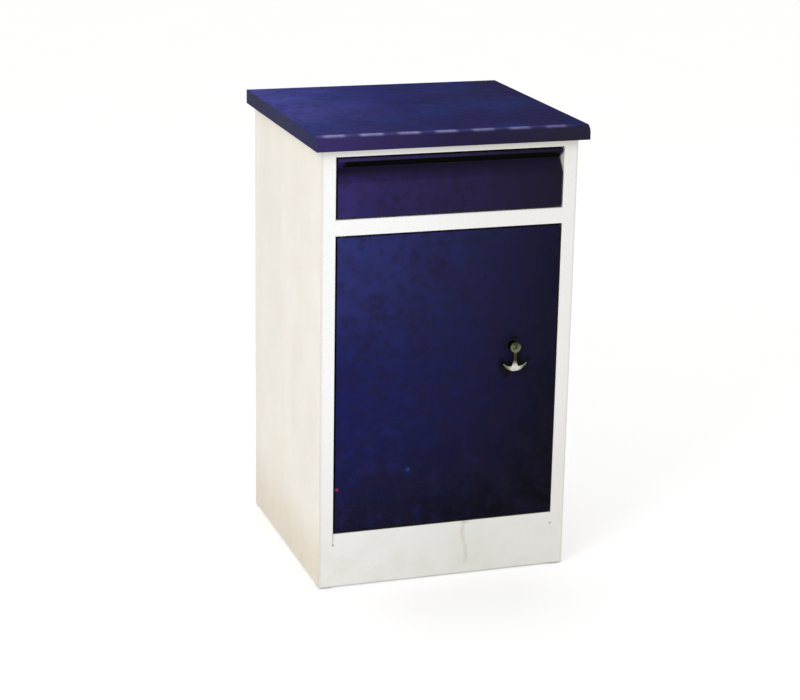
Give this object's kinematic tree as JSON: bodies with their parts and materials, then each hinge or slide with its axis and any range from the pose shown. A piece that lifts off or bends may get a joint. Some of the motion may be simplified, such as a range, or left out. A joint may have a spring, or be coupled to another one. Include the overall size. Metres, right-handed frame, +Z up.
{
  "type": "bedside cabinet",
  "caption": "Free-standing hospital bedside cabinet of folded steel with a finger-grip drawer over a hinged cupboard door, an anchor-shaped turn handle and an overhanging rounded top.",
  "frame": {"origin": "on the floor, under the middle of the top's outline", "axes": "+Z up; the drawer and door face -Y; +X is to the right of a person facing the cabinet"},
  "size_m": [0.488, 0.47, 0.812],
  "materials": {
    "white_enamel": "semi-gloss cream-white epoxy powder coat with slight orange peel",
    "blue_enamel": "semi-gloss navy powder coat",
    "blue_laminate": "satin blue post-formed laminate",
    "edge_band": "satin dark blue glued edge band",
    "particle_board": "bare particle board",
    "zinc_steel": "zinc-plated steel",
    "handle_chrome": "polished chrome on a die casting",
    "lock_metal": "nickel-plated cylinder face",
    "white_nylon": "moulded nylon",
    "black_plastic": "moulded black plastic",
    "black_rubber": "moulded black rubber"
  },
  "bodies": {
    "carcass": {"left_side_panel": "white_enamel", "right_side_panel": "white_enamel", "back_panel": "white_enamel", "plinth_panel": "white_enamel", "mid_rail": "white_enamel", "top_rail": "white_enamel", "cupboard_floor": "white_enamel", "divider_panel": "white_enamel", "inner_shelf": "white_enamel", "shelf_clips": "zinc_steel", "foot_plate_front_left": "zinc_steel", "foot_plate_front_right": "zinc_steel", "foot_plate_rear_left": "zinc_steel", "foot_plate_rear_right": "zinc_steel", "rubber_foot_front_left": "black_rubber", "rubber_foot_front_right": "black_rubber", "rubber_foot_rear_left": "black_rubber", "rubber_foot_rear_right": "black_rubber", "top_board": "particle_board", "top_laminate": "blue_laminate", "top_edge_band_left": "edge_band", "top_edge_band_right": "edge_band", "top_edge_band_back": "edge_band", "top_screws": "zinc_steel", "cabinet_runner_left": "zinc_steel", "cabinet_runner_right": "zinc_steel", "runner_support_left": "zinc_steel", "runner_support_right": "zinc_steel", "carcass_rivets": "zinc_steel", "front_roller_axles": "zinc_steel", "door_pin_top": "zinc_steel", "door_pin_bottom": "zinc_steel", "thrust_washer": "black_plastic", "magnetic_catch": "black_plastic", "catch_rivets": "zinc_steel", "stop_buffers": "black_rubber"},
    "drawer": {"drawer_front": "blue_enamel", "drawer_inner_front": "white_enamel", "drawer_tray": "white_enamel", "drawer_back_wall": "white_enamel", "drawer_runner_left": "zinc_steel", "drawer_runner_right": "zinc_steel", "drawer_rivets": "zinc_steel", "rear_roller_axles": "zinc_steel"},
    "door": {"door_skin": "blue_enamel", "door_inner_panel": "blue_enamel", "door_bush_top": "black_plastic", "door_bush_bottom": "black_plastic", "handle_bush": "black_plastic", "catch_plate": "zinc_steel", "catch_plate_rivets": "zinc_steel"},
    "handle": {"anchor_handle": "handle_chrome", "handle_spindle": "zinc_steel", "latch_tongue": "zinc_steel", "tongue_nut": "zinc_steel"},
    "lock": {"lock_plug": "lock_metal"},
    "front_left_wheel": {"front_roller_left": "white_nylon"},
    "front_right_wheel": {"front_roller_right": "white_nylon"},
    "rear_left_wheel": {"rear_roller_left": "white_nylon"},
    "rear_right_wheel": {"rear_roller_right": "white_nylon"}
  },
  "joints": [
    {"name": "drawer_slide", "type": "slide", "parent": "carcass", "child": "drawer", "axis": [0, -1, 0], "range_m": [0, 0.3]},
    {"name": "door_swing", "type": "hinge", "parent": "carcass", "child": "door", "pos_m": [-0.193, -0.211, 0.37], "axis": [0, 0, -1], "range_deg": [0, 105]},
    {"name": "handle_turn", "type": "hinge", "parent": "door", "child": "handle", "pos_m": [0.1205, -0.222, 0.4235], "axis": [0, -1, 0], "range_deg": [0, 90]},
    {"name": "lock_turn", "type": "hinge", "parent": "handle", "child": "lock", "pos_m": [0.1205, -0.227, 0.4235], "axis": [0, -1, 0], "range_deg": [0, 90]},
    {"name": "front_left_wheel_spin", "type": "hinge", "parent": "carcass", "child": "front_left_wheel", "pos_m": [-0.1912, -0.178, 0.70495], "axis": [1, 0, 0], "range_deg": [0, 1920]},
    {"name": "front_right_wheel_spin", "type": "hinge", "parent": "carcass", "child": "front_right_wheel", "pos_m": [0.1912, -0.178, 0.70495], "axis": [1, 0, 0], "range_deg": [0, 1920]},
    {"name": "rear_left_wheel_spin", "type": "hinge", "parent": "drawer", "child": "rear_left_wheel", "pos_m": [-0.1885, 0.1555, 0.69425], "axis": [1, 0, 0], "range_deg": [0, 1920]},
    {"name": "rear_right_wheel_spin", "type": "hinge", "parent": "drawer", "child": "rear_right_wheel", "pos_m": [0.1885, 0.1555, 0.69425], "axis": [1, 0, 0], "range_deg": [0, 1920]}
  ],
  "couplings": [
    {"joint": "front_left_wheel_spin", "follows": "drawer_slide", "rad_per_m": 111.11},
    {"joint": "front_right_wheel_spin", "follows": "drawer_slide", "rad_per_m": 111.11},
    {"joint": "rear_left_wheel_spin", "follows": "drawer_slide", "rad_per_m": 111.11},
    {"joint": "rear_right_wheel_spin", "follows": "drawer_slide", "rad_per_m": 111.11}
  ]
}
